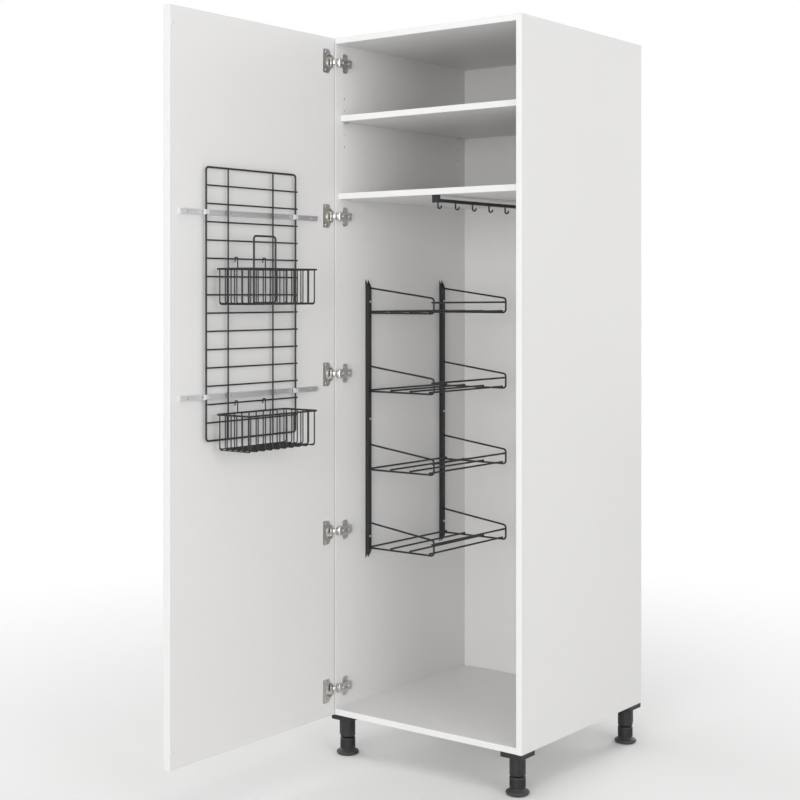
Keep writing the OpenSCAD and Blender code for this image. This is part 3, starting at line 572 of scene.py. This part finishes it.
# Joins the pieces, puts the paint on them and ties them to the node that they stand for
def standFor(pieces, name, replaced):
    bpy.context.view_layer.objects.active = pieces[0]
    bpy.ops.object.mode_set(mode="OBJECT")
    made = join(*pieces)
    made.name = name
    made.data.name = name
    made.data.materials.clear()
    made.data.materials.append(slotPaints[slotOf[replaced]])
    bpy.ops.object.shade_smooth_by_angle(angle=math.radians(dressing["smoothAngle"]))
    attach(made, bodyOf[replaced])
    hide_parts(replaced)
    made.select_set(False)


# Screws: the node of each kind, the way that its heads face, and the head's width and height
screws = {
    "cupScrews": ("cup_screws", (1, 0, 0), 0.0065, 0.0012),
    "plateScrews": ("hinge_plate_screws", (1, 0, 0), 0.0075, 0.0016),
    "armScrews": ("hinge_arm_screws", (1, 0, 0), 0.0072, 0.002),
    "railScrews": ("rail_screws", (1, 0, 0), 0.0065, 0.0016),
    "rackScrews": ("rack_screws", (1, 0, 0), 0.0065, 0.0018),
    "bracketScrews": ("bracket_screws", (0, 0, -1), 0.0055, 0.0016),
    "legScrews": ("leg_screws", (0, 0, -1), 0.008, 0.002),
}

# The form of every screw. Wide and across are shares of the head's width, high of its height
screwForm = {
    "headSides": 32,
    "shankSides": 16,
    "roundWide": 0.16,
    "roundHigh": 0.7,
    "roundSteps": 4,
    "crossWide": 0.52,
    "crossAcross": 0.11,
    "crossHigh": 1.3,
    "crossTaper": (0.6, 0.7, 1),
    "shankWide": 0.25,
    "shankHigh": 0.8,
    "turn": 37,                  # degrees from one head's cross to the next one's
}


# A pan head with a cross recess, its top at the origin and facing up, over a plain shank
def makeScrew(wide, high, length):
    head = addCylinder(screwForm["headSides"], wide / 2, -high, 0)
    pickFaces(head, lambda spot, normal: normal.z > facing)
    rounding = min(high * screwForm["roundHigh"], wide * screwForm["roundWide"])
    bpy.ops.mesh.bevel(offset=rounding, segments=screwForm["roundSteps"], affect="EDGES")
    bpy.ops.object.mode_set(mode="OBJECT")
    for turn in (0, math.pi / 2):
        cutter = addBlock((0, 0, 0), (wide * screwForm["crossWide"], wide * screwForm["crossAcross"],
                                      high * screwForm["crossHigh"]))
        pickFaces(cutter, lambda spot, normal: normal.z < -facing)
        bpy.ops.transform.resize(value=screwForm["crossTaper"])
        bpy.ops.object.mode_set(mode="OBJECT")
        cutter.data.transform(Matrix.Rotation(turn, 4, "Z"))
        combine(head, cutter)
    shank = addCylinder(screwForm["shankSides"], wide * screwForm["shankWide"], -length,
                        -high * screwForm["shankHigh"])
    return join(head, shank)


def makeScrews(name, node, way, wide, high):
    way = Vector(way)
    spots = solidsOf(node)
    length = max(abs((high - low).dot(way)) for low, high in spots)
    model = makeScrew(wide, high, length)
    pieces = []
    for k, (low, high) in enumerate(spots):
        top = (low + high) / 2 + way * abs((high - low).dot(way)) / 2
        copy = model.copy()
        copy.data = model.data.copy()
        bpy.context.scene.collection.objects.link(copy)
        spin = Matrix.Rotation(math.radians(screwForm["turn"] * k), 4, "Z")
        copy.data.transform(Matrix.Translation(top) @ turnTo(way) @ spin)
        pieces.append(copy)
    bpy.data.objects.remove(model)
    standFor(pieces, name, node)


for name, (node, way, wide, high) in screws.items():
    makeScrews(name, node, way, wide, high)
print("screws made:", len(screws), "kinds")


# Points of a round stretch, as (radius, height), between two angles in degrees
def arc(centre, radii, first, last, steps=4):
    angles = [math.radians(first + (last - first) * k / steps) for k in range(steps + 1)]
    return [(centre[0] + radii[0] * math.cos(a), centre[1] + radii[1] * math.sin(a)) for a in angles]


# Points of a bell-shaped sweep from one point to another, without the first
def sweep(start, end, steps=8):
    shares = [(k / steps, (1 - math.cos(math.pi * k / steps)) / 2) for k in range(1, steps + 1)]
    return [(start[0] + (end[0] - start[0]) * out, start[1] + (end[1] - start[1]) * up)
            for up, out in shares]


# Turns a form like a lathe: a disc is extruded and resized along the outline
def turned(outline, sides, centre):
    bpy.ops.object.select_all(action="DESELECT")
    radius, height = outline[0]
    bpy.ops.mesh.primitive_circle_add(vertices=sides, radius=radius, fill_type="NGON",
                                      location=(*centre, height))
    made = bpy.context.object
    bpy.ops.object.transform_apply(location=True, rotation=True, scale=True)
    bpy.ops.object.mode_set(mode="EDIT")
    bpy.ops.mesh.select_all(action="SELECT")
    for nextRadius, nextHeight in outline[1:]:
        bpy.ops.mesh.extrude_region_move(
            TRANSFORM_OT_translate={"value": (0, 0, nextHeight - height)})
        grow = nextRadius / radius
        bpy.ops.transform.resize(value=(grow, grow, 1), center_override=(*centre, nextHeight))
        radius = nextRadius
        height = nextHeight
    bpy.ops.mesh.select_all(action="SELECT")
    bpy.ops.mesh.normals_make_consistent(inside=False)
    bpy.ops.object.mode_set(mode="OBJECT")
    return made


# Adjusting foot, in metres: a flared flange, a narrow neck and a knurled ring
foot = {
    "sides": 96,
    "underIn": 0.006,            # the flat underside ends this far inside the rim
    "rimUp": 0.0062,
    "neckUp": 0.0162,
    "neckIn": 0.0016,            # the neck is this much slimmer than the ring
    "ringEdgeUp": 0.0026,        # height of the rounding under the ring
    "ringTopIn": 0.004,
    "ringTopDown": 0.0038,       # height of the rounding on top of the ring
    "ringGap": 0.002,            # between the ring and the leg tube
    "stem": 0.008,
    "gripLowUp": 0.0024,         # plain stretches of the ring below and above the grip
    "gripHighDown": 0.0016,
    "gripStep": 4,               # faces from one groove to the next one
    "gripWide": 2,               # faces across a groove
    "gripEdge": 0.0002,
    "gripDeep": 0.0009,
}


def footOutline(rim, ring, ringTop, high):
    neck = ring - foot["neckIn"]
    ringLow = foot["neckUp"] + foot["ringEdgeUp"]
    ringHigh = ringTop - foot["ringTopDown"]
    gripLow = ringLow + foot["gripLowUp"]
    gripHigh = ringHigh - foot["gripHighDown"]
    outline = arc((rim - foot["underIn"], foot["rimUp"]), (foot["underIn"], foot["rimUp"]), -90, 0)
    outline += sweep((rim, foot["rimUp"]), (neck, foot["neckUp"]))
    outline += arc((neck, ringLow), (foot["neckIn"], foot["ringEdgeUp"]), -90, 0)[1:]
    outline += [(ring, gripLow), (ring, gripHigh)]
    outline += arc((ring - foot["ringTopIn"], ringHigh), (foot["ringTopIn"], foot["ringTopDown"]), 0, 90)
    outline += [(foot["stem"], ringTop), (foot["stem"], high)]
    return outline, gripLow, gripHigh


def makeFoot(index):
    node = f"foot_{index}"
    low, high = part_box(node)
    tubeLow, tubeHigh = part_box(f"leg_tube_{index}")
    centre = axisOf(node)
    outline, gripLow, gripHigh = footOutline((high.x - low.x) / 2, (tubeHigh.x - tubeLow.x) / 2,
                                             tubeLow.z - foot["ringGap"], high.z)
    made = turned(outline, foot["sides"], centre)
    step = 2 * math.pi / foot["sides"]

    def inGroove(spot, normal):
        onWall = gripLow < spot.z < gripHigh and abs(normal.z) < wall
        around = math.floor(math.atan2(spot.y - centre[1], spot.x - centre[0]) / step)
        return onWall and around % foot["gripStep"] < foot["gripWide"]

    pickFaces(made, inGroove)
    bpy.ops.mesh.inset(thickness=foot["gripEdge"])
    bpy.ops.transform.shrink_fatten(value=-foot["gripDeep"])
    standFor([made], f"adjustingFoot{index}", node)


# Leg tube: its rib stands towards the cabinet's corner
legTube = {
    "sides": 72,
    "edge": 0.0016,
    "spigotIn": 0.004,           # the spigot is this much slimmer than the tube
    "seat": 0.0004,              # gap under the plate
    "ribReach": 5.4,             # degrees either side of the rib's middle
    "ribOut": 0.0016,
    "ribUp": 0.006,
}


def makeLegTube(index):
    node = f"leg_tube_{index}"
    low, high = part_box(node)
    centre = axisOf(node)
    middle = axisOf("bottom_panel")
    radius = (high.x - low.x) / 2
    spigot = radius - legTube["spigotIn"]
    edge = legTube["edge"]
    ribLow = low.z + legTube["ribUp"]
    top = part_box(f"leg_plate_{index}")[0].z - legTube["seat"]
    outline = arc((radius - edge, low.z + edge), (edge, edge), -90, 0)
    outline += [(radius, ribLow), (radius, top), (spigot, top), (spigot, high.z)]
    made = turned(outline, legTube["sides"], centre)
    corner = math.atan2(math.copysign(1, centre[1] - middle[1]), math.copysign(1, centre[0] - middle[0]))

    def onRib(spot, normal):
        turn = math.atan2(spot.y - centre[1], spot.x - centre[0]) - corner
        turn = (turn + math.pi) % (2 * math.pi) - math.pi
        onWall = ribLow < spot.z < top and abs(normal.z) < wall
        return onWall and abs(math.degrees(turn)) < legTube["ribReach"]

    pickFaces(made, onRib)
    bpy.ops.mesh.extrude_region_shrink_fatten(
        TRANSFORM_OT_shrink_fatten={"value": legTube["ribOut"]})
    standFor([made], f"legTube{index}", node)


for index in range(1, 5):
    makeFoot(index)
    makeLegTube(index)
print("feet and legs made")


# Hinge arm: a channel folded from sheet, and a neck that curls round the pin in the cup
hingeArm = {
    "high": 0.01,                # of the channel, over the mounting plate
    "start": 0.00225,            # where the channel's front end stands
    "sheet": 0.0015,
    "fold": 0.0026,              # outer radius of the folds
    "foldSteps": 5,
    "neckWide": 0.01,
    "neckThick": 0.0034,
    "neckUp": 0.0004,            # from the mounting plate to the neck
    "neckTurn": 0.0032,          # inner radius of the neck's turn
    "neckSteps": 8,
    "weld": 0.000001,
    "intoCurl": 0.75,            # where the neck starts, as a share of the curl's radius
    "intoSheet": 0.8,            # how deep it ends in the channel's front, as a share of the sheet
    "curl": 0.0022,
    "curlSides": 32,
    "bore": 0.00105,
    "slotWide": 0.0034,
    "slotLong": 0.009,
    "slotBack": 0.0015,          # from the channel's middle to the slot's
    "slotDeep": 0.004,
    "slotSides": 24,
    "edge": 0.0002,
    "edgeSteps": 2,
    "edgeAngle": 40,
}


def makeChannel(low, high):
    start = hingeArm["start"]
    size = (hingeArm["high"], high.y - start, high.z - low.z)
    channel = addBlock((high.x - size[0] / 2, (start + high.y) / 2, (low.z + high.z) / 2), size)
    pickFaces(channel, lambda spot, normal: normal.x < -facing or normal.y > facing)
    bpy.ops.mesh.delete(type="FACE")
    bpy.ops.object.mode_set(mode="OBJECT")
    fold = channel.modifiers.new("fold", "BEVEL")
    fold.width = hingeArm["fold"]
    fold.segments = hingeArm["foldSteps"]
    sheet = channel.modifiers.new("sheet", "SOLIDIFY")
    sheet.thickness = hingeArm["sheet"]
    sheet.offset = -1
    applyAll(channel)
    return channel


# Starts as a short bar at the pin, is spun round the turn and drawn out to the channel
def makeNeck(axis, low, high):
    thick = hingeArm["neckThick"]
    turn = hingeArm["neckTurn"]
    middle = (low.z + high.z) / 2
    outer = high.x - hingeArm["high"] + thick + hingeArm["neckUp"]
    turnY = axis[1] + thick / 2 + turn
    first = axis[0] + hingeArm["curl"] * hingeArm["intoCurl"]
    last = outer - thick - turn
    neck = addBlock(((first + last) / 2, axis[1], middle), (last - first, thick, hingeArm["neckWide"]))
    pickFaces(neck, lambda spot, normal: normal.x > facing)
    bpy.ops.mesh.spin(steps=hingeArm["neckSteps"], angle=math.pi / 2, axis=(0, 0, -1),
                      center=(last, turnY, middle))
    pickFaces(neck, lambda spot, normal: normal.y > facing and spot.x > last + turn / 2)
    reach = hingeArm["start"] + hingeArm["sheet"] * hingeArm["intoSheet"] - turnY
    bpy.ops.mesh.extrude_region_move(TRANSFORM_OT_translate={"value": (0, reach, 0)})
    bpy.ops.mesh.select_all(action="SELECT")
    bpy.ops.mesh.remove_doubles(threshold=hingeArm["weld"])
    bpy.ops.mesh.normals_make_consistent(inside=False)
    bpy.ops.object.mode_set(mode="OBJECT")
    return neck


def makeCurl(axis, low, high):
    middle = (low.z + high.z) / 2
    half = hingeArm["neckWide"] / 2
    curl = addCylinder(hingeArm["curlSides"], hingeArm["curl"], middle - half, middle + half, axis)
    pickFaces(curl, lambda spot, normal: abs(normal.z) > facing)
    bpy.ops.mesh.inset(thickness=hingeArm["curl"] - hingeArm["bore"])
    bpy.ops.mesh.bridge_edge_loops()
    bpy.ops.object.mode_set(mode="OBJECT")
    return curl


# A rounded slot through the channel's top, between its two screws
def makeSlot(low, high):
    wide = hingeArm["slotWide"]
    half = (hingeArm["slotLong"] - wide) / 2
    slot = addCylinder(hingeArm["slotSides"], wide / 2, -hingeArm["slotDeep"], hingeArm["slotDeep"])
    for side in (1, -1):
        pickFaces(slot, lambda spot, normal: spot.x * side > 0 and abs(normal.z) < wall)
        bpy.ops.transform.translate(value=(half * side, 0, 0))
    bpy.ops.object.mode_set(mode="OBJECT")
    along = (hingeArm["start"] + high.y) / 2 + hingeArm["slotBack"]
    slot.data.transform(Matrix.Translation((high.x, along, (low.z + high.z) / 2)) @ turnTo((1, 0, 0)))
    return slot


def makeArm(index):
    node = f"hinge_arm_{index}"
    low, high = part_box(node)
    axis = axisOf("hinge_pins")
    arm = makeChannel(low, high)
    combine(arm, makeNeck(axis, low, high), "UNION")
    combine(arm, makeCurl(axis, low, high), "UNION")
    combine(arm, makeSlot(low, high))
    edges = arm.modifiers.new("edges", "BEVEL")
    edges.width = hingeArm["edge"]
    edges.segments = hingeArm["edgeSteps"]
    edges.angle_limit = math.radians(hingeArm["edgeAngle"])
    applyAll(arm)
    standFor([arm], f"hingeArm{index}", node)


for index in range(1, 6):
    makeArm(index)
print("hinge arms made")

# Door buffer: a soft dome on a peg in the door
buffer = {
    "sides": 48,
    "wallUp": 0.45,              # share of the height that is a straight wall
    "flat": 0.25,                # share of the radius that is flat on top
    "domeSteps": 6,
    "peg": 0.0025,
    "pegSides": 24,
    "pegInto": 0.0002,           # the peg ends this far inside the dome
}


def makeBuffers():
    pieces = []
    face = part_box("door_panel")[1].x
    for low, high in solidsOf("door_buffers"):
        radius = (high.z - low.z) / 2
        rise = high.x - face
        wallTop = rise * buffer["wallUp"]
        flat = radius * buffer["flat"]
        outline = [(radius, 0)]
        outline += arc((flat, wallTop), (radius - flat, rise - wallTop), 0, 90, buffer["domeSteps"])
        dome = turned(outline, buffer["sides"], (0, 0))
        peg = addCylinder(buffer["pegSides"], buffer["peg"], low.x - face, buffer["pegInto"])
        made = join(dome, peg)
        place = Vector((face, (low.y + high.y) / 2, (low.z + high.z) / 2))
        made.data.transform(Matrix.Translation(place) @ turnTo((1, 0, 0)))
        pieces.append(made)
    standFor(pieces, "softBuffers", "door_buffers")


# Grid clip: a block with rounded corners, hollowed for the frame wire that it snaps over
clip = {
    "round": 0.0022,
    "roundSteps": 5,
    "lip": 0.0008,
    "recess": 0.0006,
    "wire": 0.0025,              # radius of the grid's frame wire
    "gap": 0.0001,
    "boreSides": 32,
    "past": 0.002,               # the bore runs this far past the clip
}


def makeClips():
    pieces = []
    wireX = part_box("wire_grid")[0].x + clip["wire"]
    for low, high in solidsOf("grid_clips"):
        centre = (low + high) / 2
        block = addBlock(centre, high - low)
        pickFaces(block, lambda spot, normal: normal.x > facing)
        bpy.ops.mesh.bevel(offset=clip["round"], segments=clip["roundSteps"], affect="EDGES")
        pickFaces(block, lambda spot, normal: normal.x > facing)
        bpy.ops.mesh.inset(thickness=clip["lip"])
        bpy.ops.transform.translate(value=(-clip["recess"], 0, 0))
        bpy.ops.object.mode_set(mode="OBJECT")
        combine(block, addCylinder(clip["boreSides"], clip["wire"] + clip["gap"], low.z - clip["past"],
                                   high.z + clip["past"], (wireX, centre.y)))
        pieces.append(block)
    standFor(pieces, "gridClips", "grid_clips")


makeBuffers()
makeClips()
print("buffers and clips made")

# Studio: pale floor, white sky for the camera, and soft lamps
studio = {
    "floor": (0.88, 0.88, 0.875),
    "floorShade": 0.985,         # the floor's darker clouds, as a share of its colour
    "floorClouds": (0.6, 2),
    "floorRough": 0.72,
    "cloudRough": 0.1,
    "floorSize": 60,
    "floorDown": 0.0002,         # keeps the floor clear of the feet
    "floorFade": (0.9, 2.9),     # metres from the middle at which the floor turns white
    "sky": 1.0,
    "fill": 0.42,
    "lamps": {                   # place, size in metres, watts
        "keyLamp": ((1.7, -5.6, 1.6), 2.8, 138),
        "sideLamp": ((4.7, -1.5, 2.0), 2.6, 62),
        "fillLamp": ((-4.6, -0.3, 2.0), 2.8, 74),
        "topLamp": ((0.6, -1.2, 4.4), 3.2, 34),
        "rearLamp": ((0.4, 4.8, 2.0), 2.8, 74),
    },
    "aim": (0.05, 0.1, 0.95),
}


def floorPaint():
    paint = newPaint("studioFloor")
    cloud = paint.noise(*studio["floorClouds"])
    x, y, _ = paint.axes()
    distance = (x * x + y * y).root()
    nearest, farthest = studio["floorFade"]
    far = ((distance - nearest) * (1 / (farthest - nearest))).clamp()
    pale = (*studio["floor"], 1)
    shade = (*(v * studio["floorShade"] for v in studio["floor"]), 1)
    rough = studio["floorRough"] + cloud * studio["cloudRough"]
    surface = paint.node("ShaderNodeBsdfPrincipled", values={
        "Base Color": paint.mix(cloud, pale, shade), "Roughness": rough})
    glow = paint.node("ShaderNodeEmission", values={"Color": (1, 1, 1, 1)})
    mixed = paint.node("ShaderNodeMixShader", values={0: far * paint.seen(), 1: surface, 2: glow})
    paint.node("ShaderNodeOutputMaterial", values={"Surface": mixed})
    return paint.owner


# The sky is white for the camera, and lights the cabinet at the strength of the fill
def skyPaint():
    paint = Paint(bpy.data.worlds.new("sky"))
    strength = studio["fill"] + paint.seen() * (studio["sky"] - studio["fill"])
    sky = paint.node("ShaderNodeBackground", values={"Color": (1, 1, 1, 1), "Strength": strength})
    paint.node("ShaderNodeOutputWorld", values={"Surface": sky})
    return paint.owner


def makeStudio():
    bpy.ops.mesh.primitive_plane_add(size=studio["floorSize"], location=(0, 0, -studio["floorDown"]))
    floor = bpy.context.object
    floor.name = "floor"
    floor.data.materials.append(floorPaint())
    for name, (place, size, power) in studio["lamps"].items():
        bpy.ops.object.light_add(type="AREA", location=place)
        lamp = bpy.context.object
        lamp.name = name
        lamp.data.size = size
        lamp.data.energy = power
        lamp.rotation_euler = (Vector(studio["aim"]) - Vector(place)).to_track_quat("-Z", "Y").to_euler()
    bpy.context.scene.world = skyPaint()


makeStudio()
bpy.context.scene.view_settings.view_transform = "Standard"
print("studio ready")
